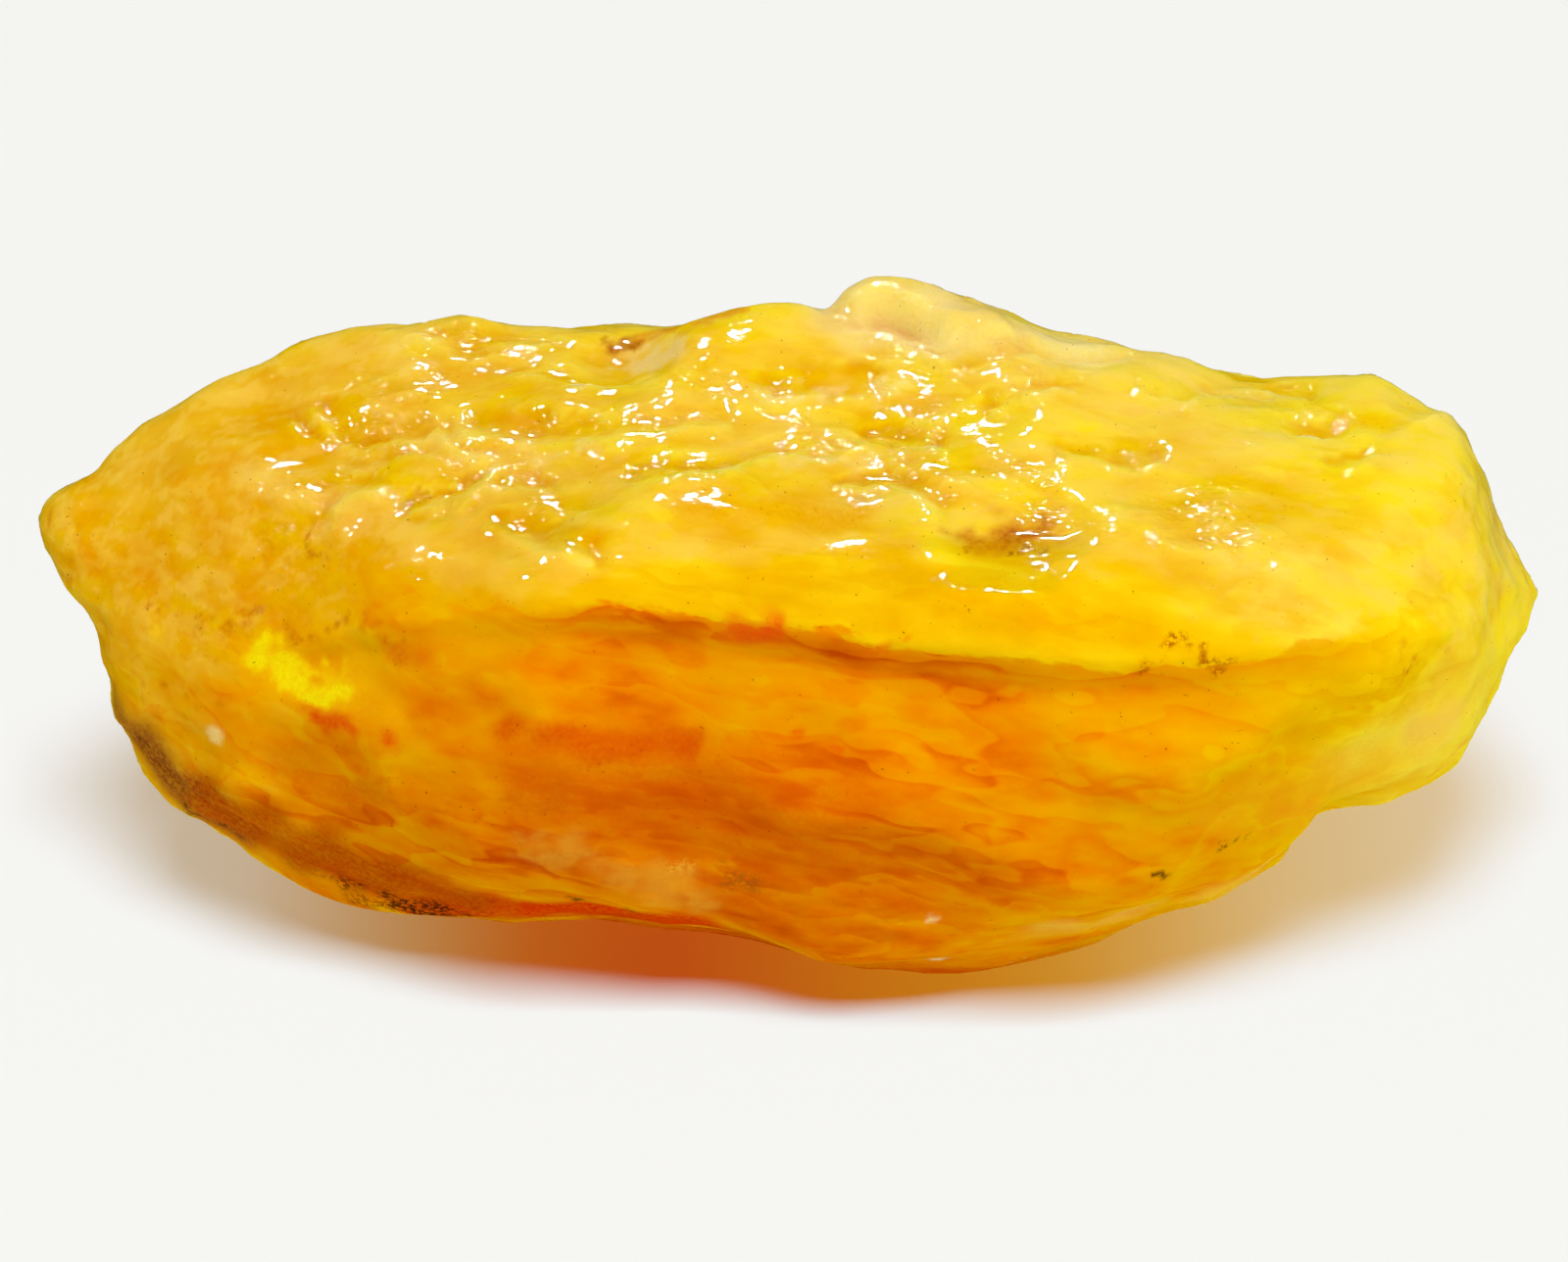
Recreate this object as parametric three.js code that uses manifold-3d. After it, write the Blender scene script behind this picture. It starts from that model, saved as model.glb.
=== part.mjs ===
// A rough yellow sapphire: one broken lump of corundum, 118 mm long, as it came from the ground.
//
// The stone lies on a small ground flat. A long crest runs along its top, a sloping shelf falls from the
// crest to a sharp ledge, and under the ledge stands a steep face that curves back to the flat. The far
// side is broken in three broad planes. A loose-edged slab of the same crystal is grown on the crest.
//
// Millimetres. +X runs along the stone, -Y is the front, with the ledge, and +Z is up from the flat.

import * as THREE from "three";
import { mergeVertices } from "three/addons/utils/BufferGeometryUtils.js";
import Module from "manifold-3d";

const wasm = await Module();
wasm.setup();

// ---- The stone's skeleton: edge lines that run from the left tip to the right tip ----

const LEFT_TIP = [-59, 0, 32];
const RIGHT_TIP = [59.3, 1, 24.5];

// Places along X where every edge line has a point.
const STATIONS = [-57.5, -54, -50.5, -44, -34, -22, -8, 6, 20, 33, 40.5, 48, 53, 57];

// Each line: its sharpness, from 0 (rolls over smoothly) to 1 (a break), and [y, z] at each station. A line
// with softLeftOf loses its sharpness over SOFTENS_OVER to the left of that x.
// The lines are in order round the stone, from the crest down the front and up the back.
const EDGE_LINES = {
  crest: {
    sharp: 0.6,
    at: [
      [1, 33.5], [2, 35], [3, 38], [4, 42], [6, 45.5], [5, 47], [4, 48],
      [5, 47], [6, 45], [6, 42.5], [6, 42], [5.5, 40.5], [4.5, 37], [2.5, 29],
    ],
  },
  terrace: {
    sharp: 0.2,
    at: [
      [-1, 34], [-1, 35.5], [-1, 38], [-1, 41], [-4, 43], [-7, 44], [-9, 44],
      [-8, 43.5], [-8, 44], [-8, 43], [-7, 41.5], [-6, 39.5], [-3, 36], [0, 28.5],
    ],
  },
  ridge: {
    sharp: 0.7,
    at: [
      [-2.5, 33.5], [-3.5, 35.5], [-5, 37.5], [-8, 40], [-13, 40.5], [-21, 40.5], [-22, 41],
      [-20, 40], [-19, 40], [-22, 36.5], [-17, 38], [-12, 36.5], [-8, 33], [-3.5, 27.5],
    ],
  },
  ledge: {
    sharp: 1,
    softLeftOf: -15,
    at: [
      [-4, 31.5], [-8, 29], [-11.5, 28], [-15, 29], [-19.5, 34], [-23, 38], [-24, 38],
      [-25, 36.5], [-25, 35], [-24, 34], [-21, 34.5], [-17, 32], [-12, 29], [-4.5, 24.5],
    ],
  },
  underLedge: {
    sharp: 0.8,
    softLeftOf: -15,
    at: [
      [-4, 30.5], [-8, 27.5], [-12, 26], [-15.5, 26.5], [-19.5, 31], [-22.5, 35.5], [-23, 35],
      [-23.5, 33], [-24, 31.5], [-23.5, 31], [-21, 31.5], [-17, 29.5], [-12.5, 27], [-5, 23.5],
    ],
  },
  belly: {
    sharp: 0.2,
    at: [
      [-4, 30], [-8.5, 26], [-12.5, 23.5], [-17, 22.5], [-22, 24], [-25, 27], [-26, 25.5],
      [-27, 24.5], [-27, 23.5], [-25, 23.5], [-20.5, 24.5], [-16, 23.5], [-11.5, 22], [-4.5, 22],
    ],
  },
  lowerFace: {
    sharp: 0.4,
    at: [
      [-3, 29.5], [-7.5, 24.5], [-11.5, 19], [-16, 16], [-20.5, 14.5], [-24, 17], [-26, 16.5],
      [-28, 16], [-27, 15], [-22.5, 14], [-18, 15.5], [-14, 17.5], [-9.5, 18], [-3.5, 21.5],
    ],
  },
  lip: {
    sharp: 0.7,
    at: [
      [-2, 29], [-6, 23.5], [-9, 13.5], [-12.5, 9], [-15.5, 5], [-19, 7.5], [-22, 10],
      [-24.5, 8], [-22.5, 7.5], [-17, 7.5], [-13.5, 9], [-10.5, 13], [-7, 14], [-3, 19],
    ],
  },
  baseFront: {
    sharp: 1,
    at: [
      [-0.5, 29.5], [-3, 23.5], [-4, 15], [-5, 9], [-8, 1.5], [-7, -1], [-10, -1],
      [-14.5, -1.5], [-14, -1.5], [-7.5, 2], [-5, 7], [-3.5, 12], [-2.5, 15.5], [-1, 21.5],
    ],
  },
  baseBack: {
    sharp: 1,
    at: [
      [1, 30], [1, 24], [2, 17], [3, 10], [7, 1.5], [12, -1], [15, -1.5],
      [14, -1.5], [12, -1], [8, 2], [6, 8], [4, 12], [3, 15.5], [1, 21.5],
    ],
  },
  heel: {
    sharp: 0.5,
    at: [
      [2.5, 30.5], [5, 25], [8, 19], [12, 13], [17, 7], [21, 5], [24, 5],
      [24, 6], [21, 5.5], [17, 8], [13, 11.5], [10, 14], [7, 16.5], [3, 22],
    ],
  },
  backBelly: {
    sharp: 0.8,
    at: [
      [3, 31.5], [7, 28.5], [11, 26], [16.5, 23], [23, 20], [27, 17], [29, 18],
      [29, 19], [27, 18], [24, 18], [20.5, 20], [16, 20.5], [11, 21.5], [4.5, 23.5],
    ],
  },
  backShoulder: {
    sharp: 0.9,
    at: [
      [3, 32.5], [7, 31.5], [10.5, 32], [15.5, 33], [20, 33], [22, 31], [24, 33],
      [25, 33], [24, 31], [23, 30], [20.5, 30.5], [17, 29.5], [12, 27.5], [5.5, 25],
    ],
  },
  backTop: {
    sharp: 0.5,
    at: [
      [2, 33.5], [4.5, 33.5], [7, 34.5], [10, 37], [13, 39.5], [13, 40.5], [12, 42],
      [13, 41], [14, 38.5], [14, 36.5], [13.5, 35.5], [12, 34.5], [9.5, 32], [4, 27],
    ],
  },
};

// The slab grown on the crest: the same kind of lines, with its underside sunk in the stone.
const SLAB_LEFT_TIP = [3, 7, 45.5];
const SLAB_RIGHT_TIP = [31, 8, 39.5];
const SLAB_STATIONS = [4.5, 8, 13, 19, 26];
const SLAB_LINES = {
  crest: { sharp: 0.7, at: [[8, 48], [9, 49], [9, 48], [9, 45.5], [9, 43.5]] },
  frontEdge: { sharp: 0.8, at: [[6, 48.5], [6, 49.5], [3, 48.5], [3, 47], [5, 44.5]] },
  frontFoot: { sharp: 0.3, at: [[5, 46.5], [4.5, 46.5], [0.5, 45], [1.5, 44], [4, 43]] },
  root: { sharp: 0, at: [[8, 42], [8, 41], [7, 39], [7, 38], [8, 38]] },
  back: { sharp: 0.6, at: [[11, 44], [14, 42], [15, 40.5], [15, 38.5], [13, 38]] },
};

// Hollows where flakes broke out: centre, half sizes along X, Y and Z, and how deep.
const HOLLOWS = [
  { centre: [-12.5, 1, 47], reach: [4.5, 5, 6], depth: 2.4 }, // pit with a stained floor, on the crest
  { centre: [-15.5, 4, 47], reach: [10, 9, 7], depth: 1.2 }, // dip in the crest behind the pit
  { centre: [17.5, -17, 41], reach: [7, 4, 4], depth: 1.5 }, // stained hollow above the ledge
  { centre: [42.5, -11, 12], reach: [4, 9, 8], depth: 2.2 }, // notch under the right lobe
  { centre: [-8, -26, 17], reach: [14, 6, 8], depth: 1.2 }, // broad shell break under the ledge
  { centre: [33, -23, 23], reach: [11, 6, 5], depth: 1.0 },
  { centre: [-38, -19, 23], reach: [9, 7, 4.5], depth: 1.0 },
  { centre: [22, -25, 24], reach: [8, 5, 5], depth: 0.8 },
];

// Broad planes the stone broke along: a point of the plane, and the way it faces.
const BREAKS = [
  { through: [-25, 24, 25], facing: [-0.35, 0.85, 0.4] },
  { through: [22, 26, 22], facing: [0.25, 0.93, 0.27] },
  { through: [0, 27, 13], facing: [0.05, 0.8, -0.6] },
  { through: [-8, -25.5, 17], facing: [-0.06, -0.96, -0.28] },
];

const SOFTENS_OVER = 14;
const STEP_ALONG = 1.6;
const STEP_ACROSS = 2.7;

// Relief: broad swells, ripples along the crystal's grain, and shell-shaped flakes. The upper side has it
// in full and the steep sides only in part.
const GRAIN_DIP = THREE.MathUtils.degToRad(13);
const SWELL = { size: 26, height: 0.7 };
const RIPPLE = { long: 22, wide: 8, height: 0.8 };
const FLAKE = { long: 12, wide: 8, depth: 2.4 };
const SIDE_SHARE = 0.7;
const CALM_TIP = 5;

// ---- Noise ----

// A repeatable number from 0 to 1 for a cell of space.
function chance(ix, iy, iz, salt = 0) {
  let h = Math.imul(ix, 374761393) ^ Math.imul(iy, 668265263) ^ Math.imul(iz, 1274126177);
  h = Math.imul(h ^ (h >>> 13) ^ Math.imul(salt, 2246822519), 1103515245);
  return ((h ^ (h >>> 16)) >>> 0) / 4294967296;
}

const ease = (t) => t * t * (3 - 2 * t);

// Smooth noise from -1 to 1, with lumps about one unit across.
function noise(x, y, z, salt = 0) {
  const [ix, iy, iz] = [x, y, z].map(Math.floor);
  const [fx, fy, fz] = [ease(x - ix), ease(y - iy), ease(z - iz)];
  let sum = 0;
  for (let corner = 0; corner < 8; corner++) {
    const [cx, cy, cz] = [corner & 1, (corner >> 1) & 1, corner >> 2];
    const weight = (cx ? fx : 1 - fx) * (cy ? fy : 1 - fy) * (cz ? fz : 1 - fz);
    sum += weight * chance(ix + cx, iy + cy, iz + cz, salt);
  }
  return 2 * sum - 1;
}

// Squared distance to the nearest of a set of scattered points, one in each unit cell, capped at 1.
function nearestSeed(x, y, z) {
  const [ix, iy, iz] = [x, y, z].map(Math.floor);
  let nearest = 1;
  for (let cell = 0; cell < 27; cell++) {
    const [cx, cy, cz] = [ix - 1 + (cell % 3), iy - 1 + (Math.floor(cell / 3) % 3), iz - 1 + Math.floor(cell / 9)];
    const [sx, sy, sz] = [1, 2, 3].map((salt) => chance(cx, cy, cz, salt));
    nearest = Math.min(nearest, (cx + sx - x) ** 2 + (cy + sy - y) ** 2 + (cz + sz - z) ** 2);
  }
  return nearest;
}

// ---- Lofting ----

// An edge line as a curve from tip to tip. A line's points share the curve parameter of their stations.
function edgeCurve(line, stations, leftTip, rightTip) {
  const points = line.at.map(([y, z], k) => new THREE.Vector3(stations[k], y, z));
  return new THREE.CatmullRomCurve3(
    [new THREE.Vector3(...leftTip), ...points, new THREE.Vector3(...rightTip)],
    false,
    "centripetal",
  );
}

// Curve parameters from tip to tip, spaced so that rings are about STEP_ALONG apart.
function ringParameters(stations, leftTip, rightTip) {
  const xs = [leftTip[0], ...stations, rightTip[0]];
  const spans = xs.length - 1;
  const parameters = [];
  for (let k = 0; k < spans; k++) {
    const steps = Math.max(2, Math.round((xs[k + 1] - xs[k]) / STEP_ALONG));
    for (let i = 0; i < steps; i++) parameters.push((k + i / steps) / spans);
  }
  return parameters.slice(1);
}

// A point between two lines of a ring. A sharp line ends the smooth run on each side of it.
function acrossPoint(ring, sharpness, j, t) {
  const n = ring.length;
  const [before, from, to, after] = [-1, 0, 1, 2].map((k) => ring[(j + k + n) % n]);
  const chord = to.clone().sub(from);
  const leave = to.clone().sub(before).multiplyScalar(0.5).lerp(chord, sharpness[j]);
  const arrive = after.clone().sub(from).multiplyScalar(0.5).lerp(chord, sharpness[(j + 1) % n]);
  const [t2, t3] = [t * t, t * t * t];
  return from.clone().multiplyScalar(2 * t3 - 3 * t2 + 1)
    .addScaledVector(leave, t3 - 2 * t2 + t)
    .addScaledVector(to, 3 * t2 - 2 * t3)
    .addScaledVector(arrive, t3 - t2);
}

function sharpnessAt({ sharp, softLeftOf = -Infinity }, x) {
  return sharp * THREE.MathUtils.smoothstep(x, softLeftOf - SOFTENS_OVER, softLeftOf);
}

// A closed skin over a set of edge lines, as an indexed geometry.
function loft(lines, stations, leftTip, rightTip) {
  const list = Object.values(lines);
  const curves = list.map((line) => edgeCurve(line, stations, leftTip, rightTip));
  const middle = curves.map((curve) => curve.getPoint(0.5));
  const steps = middle.map((point, j) =>
    Math.max(1, Math.round(point.distanceTo(middle[(j + 1) % middle.length]) / STEP_ACROSS)),
  );

  const rings = ringParameters(stations, leftTip, rightTip).map((t) => {
    const ring = curves.map((curve) => curve.getPoint(t));
    const sharpness = list.map((line, j) => sharpnessAt(line, ring[j].x));
    return steps.flatMap((count, j) =>
      Array.from({ length: count }, (_, i) => acrossPoint(ring, sharpness, j, i / count)),
    );
  });

  const around = rings[0].length;
  const points = [...rings.flat(), new THREE.Vector3(...leftTip), new THREE.Vector3(...rightTip)];
  const [leftPole, rightPole] = [points.length - 2, points.length - 1];
  const lastRing = (rings.length - 1) * around;
  const index = [];
  for (let j = 0; j < around; j++) {
    const next = (j + 1) % around;
    index.push(leftPole, next, j, rightPole, lastRing + j, lastRing + next);
    for (let i = 0; i < lastRing; i += around) {
      const [a, b, c, d] = [i + j, i + next, i + around + j, i + around + next];
      index.push(a, b, c, c, b, d);
    }
  }
  return new THREE.BufferGeometry().setFromPoints(points).setIndex(index);
}

// ---- Relief ----

// How far the broken surface stands out from, or is sunk below, the lofted one.
function reliefAt(x, y, z, upward) {
  const along = x * Math.cos(GRAIN_DIP) - z * Math.sin(GRAIN_DIP);
  const up = x * Math.sin(GRAIN_DIP) + z * Math.cos(GRAIN_DIP);
  const swell = SWELL.height * noise(x / SWELL.size, y / SWELL.size, z / SWELL.size, 7);
  const ripple = RIPPLE.height * noise(along / RIPPLE.long, y / RIPPLE.wide, up / RIPPLE.wide, 11);
  const seed = nearestSeed(along / FLAKE.long, y / FLAKE.wide, up / FLAKE.wide);
  const flake = FLAKE.depth * (seed - 0.35);
  const calm = Math.min(1, (x - LEFT_TIP[0]) / CALM_TIP, (RIGHT_TIP[0] - x) / CALM_TIP);
  const share = THREE.MathUtils.lerp(SIDE_SHARE, 1, THREE.MathUtils.clamp(upward, 0, 1));
  return calm * share * (swell + ripple + flake);
}

function hollowAt(x, y, z) {
  let depth = 0;
  for (const { centre, reach, depth: full } of HOLLOWS) {
    const q = [x, y, z].reduce((sum, v, k) => sum + ((v - centre[k]) / reach[k]) ** 2, 0);
    if (q < 1) depth += full * (1 - q);
  }
  return depth;
}

// Presses the points beyond each break plane back on to it.
function breakFlat(geometry) {
  const { position } = geometry.attributes;
  for (const { through, facing } of BREAKS) {
    const out = new THREE.Vector3(...facing).normalize();
    const plane = new THREE.Plane().setFromNormalAndCoplanarPoint(out, new THREE.Vector3(...through));
    for (let i = 0; i < position.count; i++) {
      const point = new THREE.Vector3().fromBufferAttribute(position, i);
      point.addScaledVector(out, -Math.max(0, plane.distanceToPoint(point)));
      position.setXYZ(i, ...point);
    }
  }
  return geometry;
}

// Moves each point of a skin along its normal.
function roughen(geometry) {
  geometry.computeVertexNormals();
  const { position, normal } = geometry.attributes;
  for (let i = 0; i < position.count; i++) {
    const point = new THREE.Vector3().fromBufferAttribute(position, i);
    const out = new THREE.Vector3().fromBufferAttribute(normal, i);
    point.addScaledVector(out, reliefAt(...point, out.z) - hollowAt(...point));
    position.setXYZ(i, ...point);
  }
  return geometry;
}

// ---- Solids ----

function solidOf(geometry) {
  const bare = geometry.clone();
  bare.deleteAttribute("normal");
  bare.deleteAttribute("uv");
  const merged = mergeVertices(bare);
  return new wasm.Manifold(
    new wasm.Mesh({
      numProp: 3,
      vertProperties: merged.attributes.position.array,
      triVerts: new Uint32Array(merged.index.array),
    }),
  );
}

function geometryOf(solid) {
  const { vertProperties, triVerts } = solid.getMesh();
  return new THREE.BufferGeometry()
    .setAttribute("position", new THREE.BufferAttribute(vertProperties, 3))
    .setIndex(new THREE.BufferAttribute(triVerts, 1));
}

// Sets the middle of the stone's length and width over the origin.
function centred(geometry) {
  geometry.computeBoundingBox();
  const middle = geometry.boundingBox.getCenter(new THREE.Vector3());
  return geometry.translate(-middle.x, -middle.y, 0);
}

// Everything below the flat that the stone rests on.
function ground() {
  const block = new THREE.BoxGeometry(200, 200, 40);
  return solidOf(block.translate(0, 0, -20));
}

function sapphire() {
  const lump = solidOf(roughen(breakFlat(loft(EDGE_LINES, STATIONS, LEFT_TIP, RIGHT_TIP))));
  const slab = solidOf(roughen(loft(SLAB_LINES, SLAB_STATIONS, SLAB_LEFT_TIP, SLAB_RIGHT_TIP)));
  return centred(geometryOf(lump.add(slab).subtract(ground())));
}

const material = new THREE.MeshStandardMaterial({
  color: 0xeca80c,
  roughness: 0.25,
  metalness: 0,
  flatShading: true,
});

const stone = new THREE.Mesh(sapphire(), material);
stone.name = "rough_sapphire";

const root = new THREE.Group();
root.add(stone);

export default root;
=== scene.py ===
"""A rough yellow sapphire lying on a pale floor, lit softly from above."""

import math

import bmesh
import bpy
import numpy
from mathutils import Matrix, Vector, noise


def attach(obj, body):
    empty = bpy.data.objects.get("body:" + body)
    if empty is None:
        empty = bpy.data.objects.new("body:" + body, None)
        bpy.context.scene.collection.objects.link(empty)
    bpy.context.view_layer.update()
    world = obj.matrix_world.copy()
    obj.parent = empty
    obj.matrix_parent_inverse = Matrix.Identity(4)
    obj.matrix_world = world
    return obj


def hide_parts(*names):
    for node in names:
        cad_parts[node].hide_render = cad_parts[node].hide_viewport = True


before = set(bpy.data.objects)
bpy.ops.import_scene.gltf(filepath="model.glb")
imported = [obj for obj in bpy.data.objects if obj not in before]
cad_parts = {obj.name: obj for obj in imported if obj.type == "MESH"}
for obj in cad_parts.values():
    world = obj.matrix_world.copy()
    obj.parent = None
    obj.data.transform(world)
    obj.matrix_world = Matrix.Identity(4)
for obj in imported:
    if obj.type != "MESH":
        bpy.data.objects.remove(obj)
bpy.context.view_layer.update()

scene = bpy.context.scene

# ---- The stone's shape ----
# One broken lump of corundum. Flakes have left shallow scoops with raised lips on its worn, wet-looking
# upper side, while the steep front under the ledge is smoother. The solid is remeshed finely and smoothed,
# and then each point moves along its normal by the relief. Everything here is in millimetres.

MM = 0.001
VOXEL = 0.5
SMOOTHINGS = 6

# The crystal's grain dips towards the blunt end.
GRAIN_DIP = math.radians(13)

# The lips of the larger scars, as (x, y) places from left to right. Each scar is a dip behind its lip, and
# the lip fades out past its ends.
LIPS = (
    ((-29.5, 2.5), (-25, 0), (-19, 1)),
    ((-21.5, -2), (-17, -5.3), (-12.7, -5)),
    ((-37, -3), (-35, -7), (-31.6, -8.4), (-27.8, -8)),
    ((-25, -8), (-18.7, -10.5), (-12.6, -11.3), (-5, -9.3)),
    ((-28.7, -15.5), (-23, -14.4), (-19, -15)),
    ((-23, -18.5), (-18.3, -22), (-15.4, -23)),
    ((-2.8, -5), (-1.3, -6), (3.2, -5.3), (9, -3.4)),
    ((3.3, 1), (7.5, 1.7), (11.7, -1.6), (15, -2.8), (19.3, -0.5)),
    ((16, -6), (21.5, -4.3)),
    ((-11.4, -16.5), (-6.5, -15.5), (-0.6, -13), (5.5, -10.5), (11.5, -10.8)),
    ((21, -11.7), (28, -10.7)),
    ((27, -2.2), (31, -2.6), (35.6, 0.9)),
    ((39.5, -5.5), (47, -4), (51.7, 2.7)),
    ((-31.4, 3.8), (-29, 1.9), (-26.7, 1.1)),
    ((-39.5, -3.4), (-37.8, -6.1), (-35.3, -6.9)),
    ((-27.2, -7.9), (-25.4, -10.2), (-23.4, -11.3)),
    ((-30, -10.2), (-28.6, -10.4), (-26.3, -11.7)),
    ((-35, -14.2), (-31.4, -12.6)),
    ((-25.5, -15.5), (-22.8, -13)),
    ((6.6, 1.9), (8.6, 1.6), (10.5, 1)),
    ((5.6, -9.5), (9.5, -10.1)),
    ((4, -14.7), (7.3, -14.1), (10.8, -17.2)),
    ((28.4, -18.2), (33.3, -19.3)),
    ((35, 2.6), (40.3, 1.1)),
    ((43.1, -9), (45.6, -6.5)),
)
LIP_HEIGHT = 0.6
LIP_WIDTH = 0.6
LIP_FADE = 1.5
SCAR_DEPTH = 0.55
SCAR_WIDTH = 1.7

# Scoops side by side: how deep, how long along the grain and how wide they are, and where their pattern
# starts. The first three lie on the upper side, and the small ones only where it is worn. Broad facets cover
# the steep sides, with chips at both ends.
LARGE_SCOOPS = (0.4, 11, 6, (0, 0, 0))
MIDDLE_SCOOPS = (0.4, 5.5, 3.2, (20, 7, 31))
SMALL_SCOOPS = (0.45, 2.8, 1.7, (50, 20, 9))
FACETS = (0.3, 9.5, 6, (0, 0, 0))
CHIPS = (0.8, 4.5, 3, (0, 0, 0))

# The height of the ripples on the steep sides, and of the roughness in worn places. The first runs along the
# grain, in ripples this long and wide.
RIPPLE_HEIGHT = 0.16
RIPPLE_LENGTH = 9
RIPPLE_WIDTH = 2.5
ROUGHNESS_HEIGHT = 0.12
ROUGHNESS_SIZE = 0.9

# Smooth patches, each an (x, y) middle and how far it reaches along and across.
CALM = (
    (-47, -4, 10, 9), (-13, 1, 3, 3.5), (46, -13, 11, 7), (4, 0, 3, 6), (-28, -21, 12, 5), (-2, -19, 9, 3.5),
    (8, -23, 30, 5), (17, -20, 8, 4.5),
)

# Places where the stone stands out a little more: a place, its reach, and by how much.
SWELLS = (
    ((-53.5, -2, 36), 5, 0.4), ((-45.5, 0.5, 41), 4, 0.8), ((-31, 4, 45), 8, 0.6), ((28, 3, 43), 5, 1.2),
    ((51, 0, 38), 6, 0.3), ((57, -1, 27), 7, 0.2), ((-51, -10.5, 16), 6, 0.7),
)

# The surface starts this far out, to make up for what the smoothing and the scoops take off. Near the floor
# the relief fades out between these heights, so that the flat stays flat.
SKIN = 0.2
FLAT_TOP = (0.3, 2.5)


def smoothstep(low, high, value):
    t = min(1.0, max(0.0, (value - low) / (high - low)))
    return t * t * (3 - 2 * t)


def bump(value, width):
    return math.exp(-((value / width) ** 2))


def from_lip(place):
    """How far a place lies in front of the nearest lip, and that lip's strength there, from 0 to 1."""
    found = (99.0, 0.0)
    for lip in LIPS:
        for start, end in zip(lip, lip[1:]):
            run = Vector(end) - Vector(start)
            reach = place - Vector(start)
            along = reach.dot(run) / run.length
            past = max(-along, along - run.length, 0)
            gap = (reach - run.normalized() * min(run.length, max(0.0, along))).length
            if gap < abs(found[0]):
                side = 1 if run.x * reach.y - run.y * reach.x < 0 else -1
                ends = (start == lip[0] and along < 0) or (end == lip[-1] and along > run.length)
                found = (side * gap, 1 - smoothstep(0, LIP_FADE, past) if ends else 1.0)
    return found


def along_the_grain(point):
    """The point's place along the grain, across the stone and across the grain."""
    along = point.x * math.cos(GRAIN_DIP) - point.z * math.sin(GRAIN_DIP)
    across = point.x * math.sin(GRAIN_DIP) + point.z * math.cos(GRAIN_DIP)
    return Vector((along, point.y, across))


def scooped(grain, share, deep, long, wide, start):
    """How far scoops side by side leave a place standing out: least in their middles, most at their edges.
    share is how strong they are there, from 0 to 1."""
    at = grain + Vector(start)
    at = Vector((at.x / long, at.y / wide, at.z / wide))
    from_middle = noise.voronoi(at)[0][0]
    return share * deep * (from_middle**2 - 0.25)


def relief(point, normal):
    """How far the surface stands out at a point, and how worn it is there, from 0 to 1."""
    grain = along_the_grain(point)

    # Upper is 0 on the steep sides and 1 where the stone faces up. Rough is 0 in the smooth patches and 1
    # away from them. Worn places are some 7 mm across.
    upper = smoothstep(0.15, 0.6, normal.z)
    rough = 1.0
    for x, y, long, wide in CALM:
        away = math.hypot((point.x - x) / long, (point.y - y) / wide)
        rough *= smoothstep(0.6, 1.3, away)
    worn = 0.7 * smoothstep(0.02, 0.25, noise.noise(point / 7 + Vector((3.1, 0, 7.7))))

    # The upper side: lips that wobble and break off here and there, scars behind them, and scoops.
    height = 0.0
    if upper > 0:
        wobble = 1.1 * noise.noise(point / 3.5) + 0.5 * noise.noise(point / 1.2 + Vector((9, 9, 9)))
        gap, strength = from_lip(point.xy + Vector((0, wobble)))
        lip = strength * (0.65 + 0.5 * noise.noise(point / 2.5 + Vector((0, 5, 0))))
        height += lip * (LIP_HEIGHT * bump(gap, LIP_WIDTH) - SCAR_DEPTH * bump(gap + SCAR_WIDTH, SCAR_WIDTH))
        worn = max(worn, lip * bump(gap + 1, 1.6)) * rough
        height += scooped(grain, 0.25 + 0.75 * rough, *LARGE_SCOOPS)
        height += scooped(grain, 0.15 + 0.85 * rough, *MIDDLE_SCOOPS)
        height += scooped(grain, worn, *SMALL_SCOOPS)
        height += worn * ROUGHNESS_HEIGHT * noise.noise(point / ROUGHNESS_SIZE)

    # The steep sides. Most chips lie low at the narrow end.
    ripple = Vector((grain.x / RIPPLE_LENGTH, grain.y / RIPPLE_WIDTH, grain.z / RIPPLE_WIDTH))
    steep = scooped(grain, 1, *FACETS) + RIPPLE_HEIGHT * noise.fractal(ripple, 0.8, 2.1, 3)
    chipped = smoothstep(-36, -46, point.x) * smoothstep(28, 18, point.z)
    chipped = max(chipped, 0.7 * smoothstep(-46, -54, point.x), 0.5 * smoothstep(44, 54, point.x))
    steep += scooped(grain, chipped, *CHIPS)

    swell = sum(push * bump((point - Vector(place)).length, reach) for place, reach, push in SWELLS)
    return SKIN + swell + upper * height + (1 - 0.7 * upper) * steep, upper * worn


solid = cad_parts["rough_sapphire"]
welded = bmesh.new()
welded.from_mesh(solid.data)
bmesh.ops.remove_doubles(welded, verts=welded.verts, dist=0.01 * MM)
mesh = bpy.data.meshes.new("stone")
welded.to_mesh(mesh)
welded.free()

stone = bpy.data.objects.new("stone", mesh)
scene.collection.objects.link(stone)
remesh = stone.modifiers.new("Remesh", "REMESH")
remesh.mode = "VOXEL"
remesh.voxel_size = VOXEL * MM
soften = stone.modifiers.new("Smooth", "SMOOTH")
soften.factor = 0.5
soften.iterations = SMOOTHINGS

depsgraph = bpy.context.evaluated_depsgraph_get()
mesh = bpy.data.meshes.new_from_object(stone.evaluated_get(depsgraph))
stone.modifiers.clear()
stone.data = mesh

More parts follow.
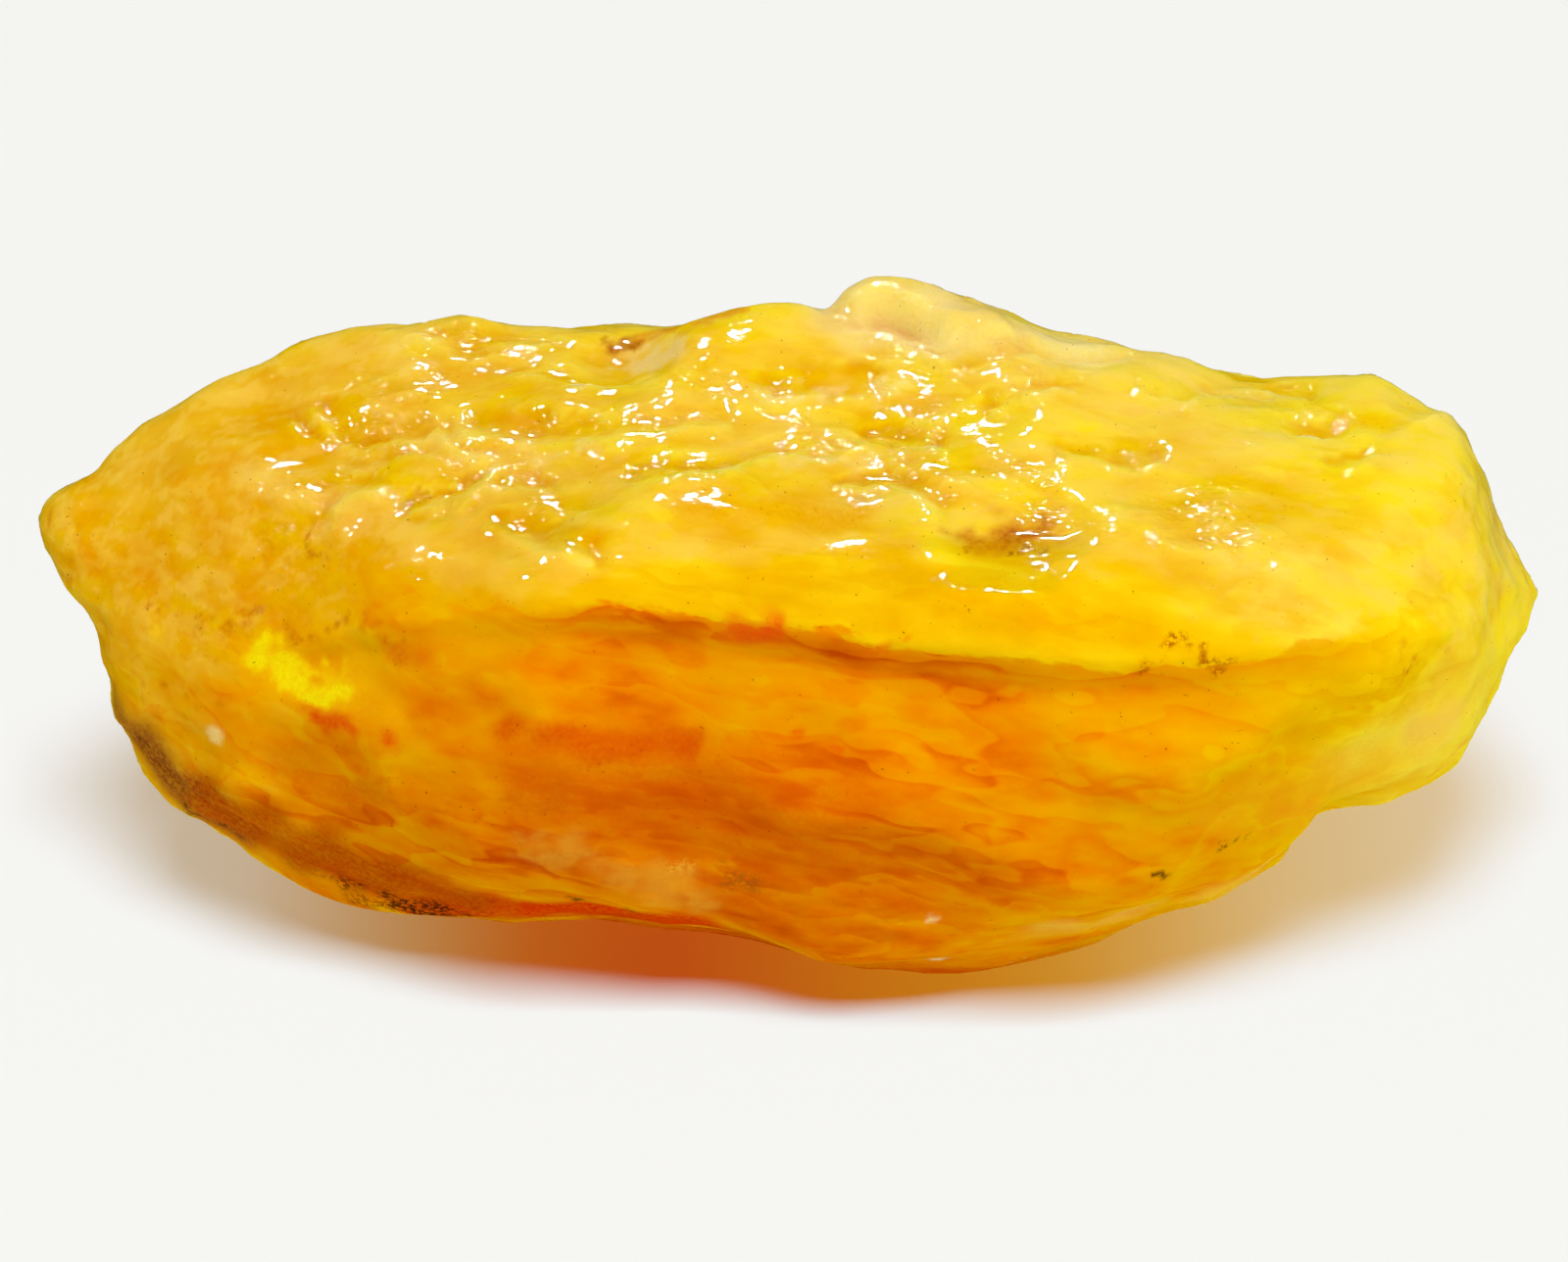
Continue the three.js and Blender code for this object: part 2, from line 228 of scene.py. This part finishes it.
heights, wears, moved = [], [], []
for vertex in mesh.vertices:
    point = vertex.co / MM
    height, worn = relief(point, vertex.normal)
    height *= smoothstep(*FLAT_TOP, point.z)
    place = point + vertex.normal * height
    place.z = max(0.0, place.z)
    heights.append(height)
    wears.append(worn)
    moved.append(place)
for vertex, place in zip(mesh.vertices, moved):
    vertex.co = place * MM
mesh.polygons.foreach_set("use_smooth", [True] * len(mesh.polygons))
mesh.update()

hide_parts("rough_sapphire")
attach(stone, "root")

# Light that leaves the stone doesn't colour the pale floor round it, beyond the glow in its shadow.
stone.visible_diffuse = False

# ---- The stone's colour, laid out over its surface ----
# Milky corundum, coloured by traces of iron: pale yellow on top and at the blunt end, amber at the narrow end
# and deep orange under the ledge, which is partly painted shade for the light that comes through the most
# crystal there. Stains, dirt, pale crust and some painted light lie over that. All of it is worked out at
# each vertex, in millimetres, and kept on the mesh.

# Patterns are drawn out along the grain, as places there are brought closer together by this much.
GRAIN_STRETCH = 0.4


def kept(name, kind, values):
    """Keeps one value for each vertex on the mesh, under a name that the material reads."""
    made = mesh.attributes.new(name, kind, "POINT")
    field = {"FLOAT": "value", "FLOAT_VECTOR": "vector", "FLOAT_COLOR": "color"}[kind]
    made.data.foreach_set(field, numpy.ravel(values).astype(numpy.float32))


def linear(code):
    """The linear colour of an sRGB hex code."""
    parts = [int(code[i : i + 2], 16) / 255 for i in (0, 2, 4)]
    return [c / 12.92 if c <= 0.04045 else ((c + 0.055) / 1.055) ** 2.4 for c in parts] + [1.0]


def eased(low, high, values):
    """What smoothstep does, for many values at once."""
    share = numpy.clip((values - low) / (high - low), 0, 1)
    return share * share * (3 - 2 * share)


def clouds(places, size, octaves):
    """Soft noise at each place, from about -0.5 to 0.5, in lumps of this size."""
    return numpy.array([noise.fractal(place / size, 0.8, 2, octaves) for place in places])


x, y, z = numpy.array(moved).T
height, wear = numpy.array(heights), numpy.array(wears)
stretched = [along_the_grain(place) * Vector((GRAIN_STRETCH, 1, 1)) for place in moved]

# Height of the ledge along the stone, through (x, z) places, and how far under it a vertex lies. It is
# crisp in the middle of the front, and fades out towards both ends and round the back. Its edge reaches this
# far up and down, in millimetres.
SOFT_EDGE, CRISP_EDGE = 5, 0.25
LEDGE = (
    (-60, 31), (-54, 29), (-50, 28), (-44, 29), (-34, 34), (-22, 38), (-14, 38.8), (-8, 38.3), (-1, 37),
    (6, 36.4), (14, 35.5), (23, 34.4), (33, 34.2), (40, 34.5), (48, 32), (53, 29), (60, 24),
)
below = numpy.interp(x, *zip(*LEDGE)) - z
crisp = eased(-24, -14, x) * eased(50, 40, x) * eased(4, -8, y)
edge = SOFT_EDGE - (SOFT_EDGE - CRISP_EDGE) * crisp

# A more saturated band lies on the slope above the ledge, up to this height.
BAND = ((-18, 38.5), (-14, 41), (0, 40.8), (20, 40), (26, 38.8), (33.6, 35.2), (38, 34))
in_band = eased(0.9, -0.9, z - numpy.interp(x, *zip(*BAND))) * eased(-16, -20, y)

# Warmth: 0 is pale yellow and 1 the deepest orange. It changes along the stone, through (x, warmth) places.
WARM_TOP = (
    (-60, 0.6), (-45, 0.5), (-30, 0.31), (-12, 0.19), (5, 0.2), (20, 0.14), (35, 0.11), (50, 0.07), (60, 0.2),
)
WARM_LOW = (
    (-60, 0.46), (-50, 0.6), (-40, 0.7), (-25, 0.7), (-8, 0.79), (5, 0.79), (18, 0.67), (28, 0.56),
    (40, 0.41), (50, 0.24), (60, 0.18),
)
# Warmth is cloudy, and highest in the hollows, as painted shade. Under the ledge it grows with depth, as
# painted shade for light that has come through more crystal, and a warm line of painted shade lies close
# under the crisp part.
cloudy_with_hollow_shade = 0.18 * clouds(stretched, 3, 3) - 0.2 * height - 0.4 * numpy.minimum(height, 0)
warm_top = numpy.interp(x, *zip(*WARM_TOP)) + cloudy_with_hollow_shade + 0.11 * in_band
warm_low = numpy.interp(x, *zip(*WARM_LOW)) + cloudy_with_hollow_shade + 0.18 * numpy.clip((below - 1) / 16, 0, 1) - 0.08
warm_low += 0.12 * crisp * eased(4, 1, below)

# Milkiness: 0 is clear and 1 milky. It lies in large soft clouds and small crisp ones, with thin veins at the
# narrow end. What stands out is milkier, and the band is clear.
milk = 0.5 * eased(-0.2, 0.3, clouds(stretched, 5, 2)) + 0.5 * eased(-0.02, 0.16, clouds(stretched, 1.6, 3))
narrow_end = eased(-22, -34, x)
veins = 0.7 * eased(0.06, 0.18, clouds(stretched, 1.3, 3)) - 0.25
milk_top = numpy.clip(0.6 * milk + 0.7 * height - 0.1 - 0.7 * in_band + narrow_end * veins, 0, 1)

# Sheets inside the crystal show in patches. Each sheet: how thick it is in millimetres, how ragged, and how
# much warmth it adds.
SHEETS = ((7, 6, -0.2), (3.2, 5, -0.13), (5.3, 6, 0.2))
veiled = [eased(-0.2, 0.2, clouds(stretched, 3 * thickness, 1)) for thickness, _, _ in SHEETS]

kept("ledge", "FLOAT_VECTOR", numpy.stack((below, edge, wear), 1))
kept("warmth", "FLOAT_VECTOR", numpy.stack((warm_top, warm_low, milk_top), 1))
kept("veiled", "FLOAT_VECTOR", numpy.stack(veiled, 1))

# The upper side looks wet, and the band and the steep front less so.
WET, DULL = 0.5, 0.08
kept("shine", "FLOAT", WET - (WET - DULL) * numpy.maximum(in_band, eased(-2, 2, below)))

# Marks lie along short lines. Plain places keep a mark's outline even, wavy ones bend it, and torn ones break
# it up as well. The seed keeps them the same each time.
noise.seed_set(3)
plain = numpy.array(moved)
wavy = numpy.array([place + 2 * noise.noise_vector(place / 3.5) for place in moved])
torn = wavy + numpy.array([1.3 * noise.noise_vector(place / 1.1) for place in moved])


def near_line(start, end, width, soft, places):
    """1 on the line from start to end, and 0 beyond width. soft is the share of width that it fades over."""
    run = numpy.subtract(end, start)
    share = numpy.clip((places - start) @ run / max(run @ run, 0.01), 0, 1)
    gap = numpy.linalg.norm(places - start - numpy.outer(share, run), axis=1)
    return eased(width, width * (1 - soft), gap)


# Each mark: start, end, width, soft, places, speckled, hex code, strength.
MARKS = (
    # Deep orange bands and the clearer heart of the front.
    ((-18, -27, 23.5), (2, -28, 20.5), 7, 0.7, wavy, False, "D86002", 0.6),
    ((-21.4, -26.8, 28.6), (-8.8, -26.5, 27.3), 2.3, 0.7, wavy, False, "D65E02", 0.95),
    ((8, -27.5, 19), (15, -27.5, 17), 3.5, 0.7, wavy, False, "D86602", 0.4),
    # Iron stains, orange to red.
    ((-30.5, -22, 34), (-24, -25, 31), 1.6, 0.8, wavy, False, "E06E02", 0.5),
    ((-4.5, -25.5, 36.7), (-0.5, -25.8, 37.2), 1.3, 0.9, wavy, False, "E4560A", 0.9),
    ((6, -26.8, 36), (8.5, -26.8, 35.6), 1.0, 0.8, torn, False, "E57006", 0.7),
    ((1, -27.2, 28.6), (4, -27.2, 27.6), 1.3, 0.8, torn, False, "E85E04", 0.8),
    ((-11, 3.5, 46.8), (-4, 2.5, 47.8), 1.6, 0.7, torn, False, "DC6E10", 0.7),
    ((51, -12, 16.5), (53, -10.5, 16.8), 1.3, 0.8, torn, False, "DC5A18", 0.8),
    ((-54.5, -8.5, 25), (-53.5, -9, 21.5), 0.9, 0.6, torn, False, "D0701C", 0.7),
    # Brown stains.
    ((-15.5, 3.0, 45.2), (-11.8, 3.2, 45.6), 1.2, 0.5, torn, False, "A8560C", 0.85),
    ((13.5, -18.2, 40.2), (19.5, -18, 40.2), 2.6, 0.9, torn, False, "CC7C06", 0.9),
    ((17.8, -18, 40), (19.5, -18.2, 40), 1.3, 0.8, torn, False, "B4640A", 0.85),
    ((13.2, -19.8, 40.4), (20.5, -19.9, 39.9), 0.6, 0.8, torn, True, "8E4A0A", 0.9),
    ((27, -26, 34.2), (33.5, -25.3, 33.9), 0.7, 0.7, torn, True, "A03C04", 0.9),
    ((-4.4, -26, 14.4), (-2, -26, 13.4), 2.0, 0.9, torn, True, "A85F12", 0.7),
    ((46.4, -20.4, 31.2), (47.4, -19.8, 29.8), 0.8, 0.7, torn, False, "C8680A", 0.7),
    ((-37, -15.5, 38.6), (-34.5, -17.5, 37.2), 0.8, 0.8, torn, True, "B8740A", 0.45),
    ((-46.9, -14, 30.4), (-33.5, -20.8, 33.5), 0.7, 0.9, torn, True, "B8780E", 0.4),
    # Tan skin and black lichen along the lower edge of the narrow end.
    ((-51, -12, 18.8), (-43.5, -15, 12), 4.6, 0.7, wavy, False, "985A18", 1),
    ((-50.5, -12.2, 17.5), (-46, -14.3, 14.6), 2.4, 0.7, torn, True, "7E420E", 0.75),
    ((-52.5, -10.5, 20), (-46.8, -14.2, 17.8), 0.6, 0.7, torn, False, "4E2C12", 0.8),
    ((-47.5, -13, 12.6), (-43.3, -15, 11.2), 0.9, 0.8, torn, True, "56300E", 0.85),
    ((-34, -18, 8), (-26.5, -19.2, 6.2), 2.8, 0.8, torn, True, "2C1A08", 1),
    ((-39, -16.5, 9.5), (-33, -18.5, 8), 0.8, 0.9, torn, True, "5A3C12", 0.6),
    # The red glow under the lower edge, painted light that has come through the crystal, its dark seam and
    # the pale rim above.
    ((-30, -19.5, 6.5), (-18, -22, 7.5), 3.6, 0.5, wavy, False, "C63A02", 0.95),
    ((-18, -22, 7.5), (-7, -23.5, 7.5), 3.8, 0.45, wavy, False, "D23000", 1),
    ((-44, -16, 15), (-28, -20, 10), 5.5, 0.6, wavy, False, "AE4402", 0.9),
    ((-38, -19.5, 21), (-30, -22, 17), 4, 0.9, wavy, False, "C86202", 0.5),
    ((-18.5, -25.8, 17.4), (-8, -25.2, 12.6), 3, 0.9, torn, False, "E8A82A", 0.75),
    ((-10, -25.8, 15.4), (-8.6, -25.8, 14.8), 1.5, 0.9, torn, True, "F2C43A", 0.6),
    ((-17.6, -23.9, 11.4), (-11.4, -23.7, 9.6), 0.6, 0.6, torn, False, "5E3008", 0.9),
    ((19.4, -23.3, 8), (37, -18, 11), 2.8, 0.8, wavy, False, "F0B93E", 0.6),
    # Pale crust on the ridge and the hollow's lip, and marks at the blunt end.
    ((-41.3, -9.6, 40.6), (-29, -17.7, 40.6), 2.2, 0.7, torn, False, "F4D264", 0.5),
    ((-29, -17.7, 40.6), (-18.5, -23.4, 40.8), 2.2, 0.7, torn, False, "F2C840", 0.4),
    ((-8, -18.5, 42), (4, -17.5, 42), 3.5, 0.8, wavy, False, "E8B000", 0.9),
    ((-24, -10.5, 43), (-12, -11.5, 44), 1.4, 0.8, torn, False, "F6DA78", 0.6),
    ((-10, -15.5, 43), (6, -10.5, 43.5), 1.4, 0.8, torn, False, "F6DA78", 0.6),
    ((-4, -5.8, 45), (9, -3.6, 45), 1.2, 0.8, torn, False, "F8E088", 0.6),
    # Painted light, where the thin blunt end lets light through.
    ((45, -18, 22), (54, -11, 20), 7, 0.9, wavy, False, "FFE23A", 0.85),
    ((48.5, -16.8, 23), (51, -14.5, 21), 3.4, 0.9, wavy, False, "EBB65C", 0.5),
    ((30, -22, 22), (44, -18, 18), 6, 0.9, wavy, False, "F2B018", 0.5),
    ((4, 4, 48.5), (12, 3, 47), 5, 0.8, wavy, False, "F6E090", 0.7),
    ((13, 3, 46), (22, 2.5, 45), 5, 0.8, wavy, False, "F8E490", 0.8),
    ((-12.5, 0.5, 45.5), (-9, 0, 45.8), 2.2, 0.6, torn, False, "F6E08A", 0.7),
    # A clear, bright window at the narrow end, whose brightness is painted light coming through the crystal.
    ((-41, -18.5, 28.6), (-31, -22.3, 28.4), 3.2, 0.7, wavy, False, "F6BE04", 0.9),
    ((-40.5, -18.6, 29.2), (-35.5, -20.7, 28.8), 1.9, 0.5, torn, False, "FFEA08", 0.95),
    ((-36, -21.5, 26.2), (-32, -23.4, 25.8), 2.1, 0.7, torn, False, "E25206", 0.95),
    # Thin brown veins and darker streaks at the narrow end.
    ((-37, -14.2, 38.7), (-34.7, -18, 36.5), 0.6, 0.8, torn, False, "C86804", 0.75),
    ((-49, -12.5, 31), (-38.2, -18.2, 32.5), 0.6, 0.8, torn, False, "C86804", 0.65),
    ((-38.2, -18.2, 32.5), (-30, -22.5, 34.6), 0.7, 0.8, torn, False, "D07804", 0.7),
    ((-33, -21.2, 34.6), (-27.4, -24.3, 33), 1.1, 0.8, torn, False, "E07A04", 0.7),
    ((-57.5, -4, 34), (-56, -8, 26), 0.8, 0.8, torn, False, "C2740E", 0.6),
    ((-52, -8, 37), (-46, -10, 38.5), 0.6, 0.8, torn, False, "CC7206", 0.6),
    ((-50, -13, 25), (-43, -17.5, 25.5), 0.6, 0.8, torn, False, "C86804", 0.6),
    ((-43, -17, 18), (-35, -21, 18), 0.7, 0.8, torn, False, "B86408", 0.6),
    ((-34.7, -21.9, 19.4), (-27, -25.7, 20.6), 1.5, 0.6, torn, False, "D87204", 0.6),
    ((-23, -26, 24), (-14, -27, 22), 1.4, 0.6, torn, False, "D46802", 0.6),
    ((-50, -13.4, 28.2), (-48.3, -13.8, 28.1), 0.9, 0.6, torn, False, "FFD820", 0.7),
    # Specks of black, and pale grains.
    ((28, -25.6, 14.4), (29, -25.5, 14.3), 0.6, 0.4, torn, False, "3A1A08", 0.95),
    ((30.4, -24, 13.4), (30.6, -24, 13.3), 0.35, 0.4, torn, False, "3A1A08", 0.9),
    ((33.6, -23.4, 15.8), (34.5, -23, 15.7), 0.6, 0.5, torn, True, "2E1606", 0.95),
    ((-11.9, -7.2, 45.7), (-11.5, -7.2, 45.7), 0.5, 0.5, torn, False, "5A2E16", 0.95),
)
# Grains of pale crystal stuck to the front, each a place and how far it reaches.
GRAINS = (
    ((-44.6, -17.6, 22.3), 1.1), ((10.9, -26.3, 10.8), 0.6), ((11.5, -22.2, 4.4), 1.0),
    ((15.7, -19.5, 2.0), 0.5), ((17.2, -19.4, 2.2), 0.6), ((18.4, -19.3, 2.6), 0.5), ((-17, -22, 40.2), 0.8),
)
MARKS += tuple((place, place, width, 0.5, plain, False, "F4DE8E", 0.9) for place, width in GRAINS)

# Stains with painted light, and dirt, hold a colour times its cover, and the cover. Dirt is speckled.
stains_and_painted_light, dirt = numpy.zeros((len(moved), 4)), numpy.zeros((len(moved), 4))
for start, end, width, soft, places, speckled, code, strength in MARKS:
    layer = dirt if speckled else stains_and_painted_light
    share = strength * near_line(start, end, width, soft, places)[:, None]
    layer *= 1 - share
    layer += share * linear(code)
kept("stains_and_painted_light", "FLOAT_COLOR", stains_and_painted_light)
kept("dirt", "FLOAT_COLOR", dirt)

# ---- The stone's material ----
# Natural corundum, rough and never cut. Light spreads inside the milky crystal and softens its shading. Its
# worn, broken faces shine as if wet, and its shadow on the floor glows.

sapphire = bpy.data.materials.new("sapphire")
sapphire.use_nodes = True
tree = sapphire.node_tree
tree.nodes.clear()


def node(kind, inputs=(), out=0, stops=(), **settings):
    """Adds a shader node and gives one of its outputs, or the node itself where out is None. An input is a
    value to set, an output to link, or None to leave. stops are a colour ramp's positions and hex codes."""
    made = tree.nodes.new("ShaderNode" + kind)
    for name, value in settings.items():
        setattr(made, name, value)
    for key, value in inputs.items() if isinstance(inputs, dict) else enumerate(inputs):
        if isinstance(value, bpy.types.NodeSocket):
            tree.links.new(value, made.inputs[key])
        elif value is not None:
            made.inputs[key].default_value = value
    for _ in stops[2:]:
        made.color_ramp.elements.new(0.5)
    for index, (position, code) in enumerate(stops):
        made.color_ramp.elements[index].position = position
        made.color_ramp.elements[index].color = linear(code)
    return made.outputs[out] if out is not None else made


at = node("VectorMath", {0: node("TexCoord", out="Object"), "Scale": 1 / MM}, operation="SCALE")
turned = node("VectorRotate", {"Vector": at, "Angle": -GRAIN_DIP}, rotation_type="Y_AXIS")
grain = node("VectorMath", (turned, (GRAIN_STRETCH, 1, 1)), operation="MULTIPLY")
across = node("SeparateXYZ", (turned,), out=2)
at_ledge, warmths, patches = [
    node("SeparateXYZ", (node("Attribute", out=1, attribute_name=name),), out=None).outputs
    for name in ("ledge", "warmth", "veiled")
]
below_ledge, edge_reach, how_worn = at_ledge
top_warmth, low_warmth, top_milk = warmths

# A noise's inputs are its place, one over its size in millimetres, its detail and its roughness. This one
# makes the ledge's edge ragged.
ragged = node("TexNoise", (grain, None, 1 / 4, 4, 0.65))
ragged = node("Math", (ragged, 0.5), operation="SUBTRACT")
ragged = node("Math", (ragged, 6, below_ledge), operation="MULTIPLY_ADD")
above = node("Math", (edge_reach, -1), operation="MULTIPLY")
under = node("MapRange", (ragged, above, edge_reach), interpolation_type="SMOOTHSTEP")
warmth = node("Mix", {0: under, 2: top_warmth, 3: low_warmth}, data_type="FLOAT")

# Sheets inside the crystal, each with a crisp, ragged upper edge, from which it fades downwards. They show
# more on the steep front.
FADE = ((0, "000000"), (0.55, "808080"), (0.93, "FFFFFF"), (1, "000000"))
shown = node("MapRange", (under, 0, 1, 0.5, 0.8))
for patch, (thickness, roughness, strength) in zip(patches, SHEETS):
    rise = node("TexNoise", (grain, None, 1 / (2 * thickness), 3, 0.65))
    stack = node("Math", (across, thickness), operation="DIVIDE")
    stack = node("Math", (rise, roughness, stack), operation="MULTIPLY_ADD")
    sheet = node("Math", (stack,), operation="FRACT")
    sheet = node("ValToRGB", (sheet,), stops=FADE)
    sheet = node("Math", (sheet, patch), operation="MULTIPLY")
    sheet = node("Math", (sheet, shown), operation="MULTIPLY")
    warmth = node("Math", (sheet, strength, warmth), operation="MULTIPLY_ADD")

# Finer wisps run along the grain.
wisps = node("TexNoise", (grain, None, 1 / 0.8, 2, 0.6))
wisps = node("Math", (wisps, 0.5), operation="SUBTRACT")
warmth = node("Math", (wisps, 0.16, warmth), operation="MULTIPLY_ADD")

# Clear and milky crystal, from the palest to the warmest. Under the ledge less of the milk shows.
clear = node(
    "ValToRGB",
    (warmth,),
    stops=(
        (0, "F5DA14"), (0.15, "EFC806"), (0.3, "E9BA00"), (0.5, "E8AA00"), (0.65, "E89C00"),
        (0.78, "E68600"), (0.88, "DC6E00"), (1, "CC4C00"),
    ),
)
milky = node(
    "ValToRGB",
    (warmth,),
    stops=(
        (0, "F8D65C"), (0.25, "F4C946"), (0.5, "ECBB2E"), (0.7, "E7AA16"), (0.85, "E2940C"), (1, "D6780A"),
    ),
)
milk = node("MapRange", (under, 0, 1, 1, 0.35))
milk = node("Math", (top_milk, milk), operation="MULTIPLY")
colour = node("Mix", {0: milk, 6: clear, 7: milky}, out=2, data_type="RGBA")

# Stains and painted light are torn and dirt is speckled, more finely than the mesh can hold. Each layer: its
# name, the noise between which its cover rises, and its least and most cover.
LAYERS = (("stains_and_painted_light", 0.35, 0.65, 0.75, 1.05), ("dirt", 0.44, 0.52, 0, 1))
fine_noise = node("TexNoise", (at, None, 1 / 0.4, 2, 0.7))
for layer, low, high, least, most in LAYERS:
    laid = node("Attribute", out=None, attribute_name=layer)
    cover = node("MapRange", (fine_noise, low, high, least, most))
    rest = node("Math", (laid.outputs["Alpha"], cover), operation="MULTIPLY")
    rest = node("Math", (1, rest), operation="SUBTRACT")
    laid = node("VectorMath", {0: laid.outputs["Color"], "Scale": cover}, operation="SCALE")
    colour = node("VectorMath", (colour, rest, laid), operation="MULTIPLY_ADD")

# A few specks of black.
specks = node("MapRange", (fine_noise, 0.72, 0.74, 0, 0.8))
colour = node("Mix", {0: specks, 6: colour, 7: linear("5A3008")}, out=2, data_type="RGBA")

# Relief too fine for the mesh: sharp little folds along the grain, deepest where the stone is worn.
flakes = node("VectorMath", (turned, (0.65, 1, 1)), operation="MULTIPLY")
folds = node("TexNoise", (flakes, None, 1 / 2, 2, 0.55))
folds = node("Math", (folds, 0.5), operation="SUBTRACT")
folds = node("Math", (folds,), operation="ABSOLUTE")
depth = node("Math", (how_worn, -1.5, -0.14), operation="MULTIPLY_ADD")
scoop = node("Math", (folds, depth), operation="MULTIPLY")
fine_normal = node("Bump", {"Strength": 1.0, "Distance": MM, "Height": scoop})

# Corundum's IOR is 1.77. The milk in it scatters red and green light the farthest and blue the least, and
# the coat alone gives the wet shine.
body = node(
    "BsdfPrincipled",
    {
        "Base Color": colour,
        "Roughness": 0.08,
        "IOR": 1.77,
        "Specular IOR Level": 0.0,
        "Transmission Weight": 0.2,
        "Subsurface Weight": 1.0,
        "Subsurface Radius": (0.9, 1.0, 0.4),
        "Subsurface Scale": 4.5 * MM,
        "Coat Weight": node("Attribute", out=2, attribute_name="shine"),
        "Coat Roughness": 0.03,
        "Coat IOR": 1.77,
        "Normal": fine_normal,
    },
)

# Lamplight passes on through the crystal and tints its shadow. The tint changes along the stone, and is
# strongest under the deep orange part.
lamplight = node("LightPath", out="Is Shadow Ray")
along = node("MapRange", (node("SeparateXYZ", (at,)), -60, 60))
tint = node(
    "ValToRGB",
    (along,),
    stops=(
        (0, "E4D9CA"), (0.13, "E4D8C8"), (0.25, "DCBA8E"), (0.33, "DE9840"), (0.42, "DE8A10"),
        (0.57, "E4AE28"), (0.67, "E8BE60"), (0.82, "EEDAB4"), (1, "F2E6D2"),
    ),
)
through = node("BsdfTransparent", (tint,))
surface = node("MixShader", (lamplight, body, through))
node("OutputMaterial", (surface,), out=None)
mesh.materials.append(sapphire)

# ---- Floor ----
# A plain, pale, matt floor, large enough to fill every view. The stone's wet faces don't mirror it.

bpy.ops.mesh.primitive_plane_add(size=8)
floor = bpy.context.object
floor.name = "floor"
pale = bpy.data.materials.new("floor")
pale.use_nodes = True
pale_surface = pale.node_tree.nodes["Principled BSDF"]
pale_surface.inputs["Base Color"].default_value = linear("F5F5F3")
pale_surface.inputs["Roughness"].default_value = 0.9
pale_surface.inputs["Specular IOR Level"].default_value = 0.1
floor.data.materials.append(pale)
floor.visible_glossy = False

# ---- Lights ----
# A wide soft light above, three weak ones that light the stone alone, and a faint, warm sky. The wet faces
# mirror none of them. They mirror three small lamps, which show only as glints. All sizes are in metres, and
# every lamp points at the middle of the stone.

STONE_MIDDLE = Vector((0, 0, 0.02))


def area_light(name, size, power, place, glints=False):
    """An area light that either lights what it shines on, or shows only as glints."""
    lamp = bpy.data.lights.new(name, "AREA")
    lamp.shape = "RECTANGLE"
    lamp.size, lamp.size_y = size
    lamp.energy = power
    holder = bpy.data.objects.new(name, lamp)
    holder.location = place
    holder.rotation_euler = (STONE_MIDDLE - Vector(place)).to_track_quat("-Z", "Y").to_euler()
    holder.visible_glossy = glints
    holder.visible_diffuse = not glints
    # The crystal is too milky to see a lamp through it.
    holder.visible_transmission = False
    scene.collection.objects.link(holder)
    return holder


area_light("top_light", (3.6, 3.6), 965, (0.0, -3.2, 8.8))
front_light = area_light("front_light", (1.2, 0.5), 4.8, (0.6, -1.3, 0.2))
end_light = area_light("end_light", (0.6, 0.4), 3.1, (1.0, -0.35, 0.12))
back_light = area_light("back_light", (1.2, 0.4), 4.8, (-0.1, 1.2, 0.4))
area_light("glint_light", (0.08, 0.02), 1.8, (0.05, 0.2, 0.9), glints=True)
area_light("far_glint_light", (0.08, 0.02), 1.8, (-0.05, 0.55, 0.75), glints=True)
area_light("side_glint_light", (0.04, 0.04), 1.6, (-0.5, -0.1, 0.8), glints=True)

lit = bpy.data.collections.new("lit_from_the_sides")
lit.objects.link(stone)
for lamp in (front_light, end_light, back_light):
    lamp.light_linking.receiver_collection = lit

world = bpy.data.worlds.new("sky")
world.use_nodes = True
world.node_tree.nodes["Background"].inputs["Color"].default_value = (1, 0.8, 0.3, 1)
world.node_tree.nodes["Background"].inputs["Strength"].default_value = 0.012
scene.world = world
world.cycles_visibility.glossy = False
scene.view_settings.view_transform = "Standard"

# ---- Camera ----
# A long lens, looking down at the front of the stone.

ELEVATION = math.radians(32)
DISTANCE = 0.556
AIM = Vector((-0.00055, -0.0013, 0.0214))

camera = bpy.data.objects.new("camera", bpy.data.cameras.new("camera"))
camera.data.lens = 160
camera.data.sensor_width = 36
camera.location = AIM + DISTANCE * Vector((0, -math.cos(ELEVATION), math.sin(ELEVATION)))
camera.rotation_euler = (math.radians(90) - ELEVATION, 0, 0)
scene.collection.objects.link(camera)
scene.camera = camera

bpy.context.view_layer.update()
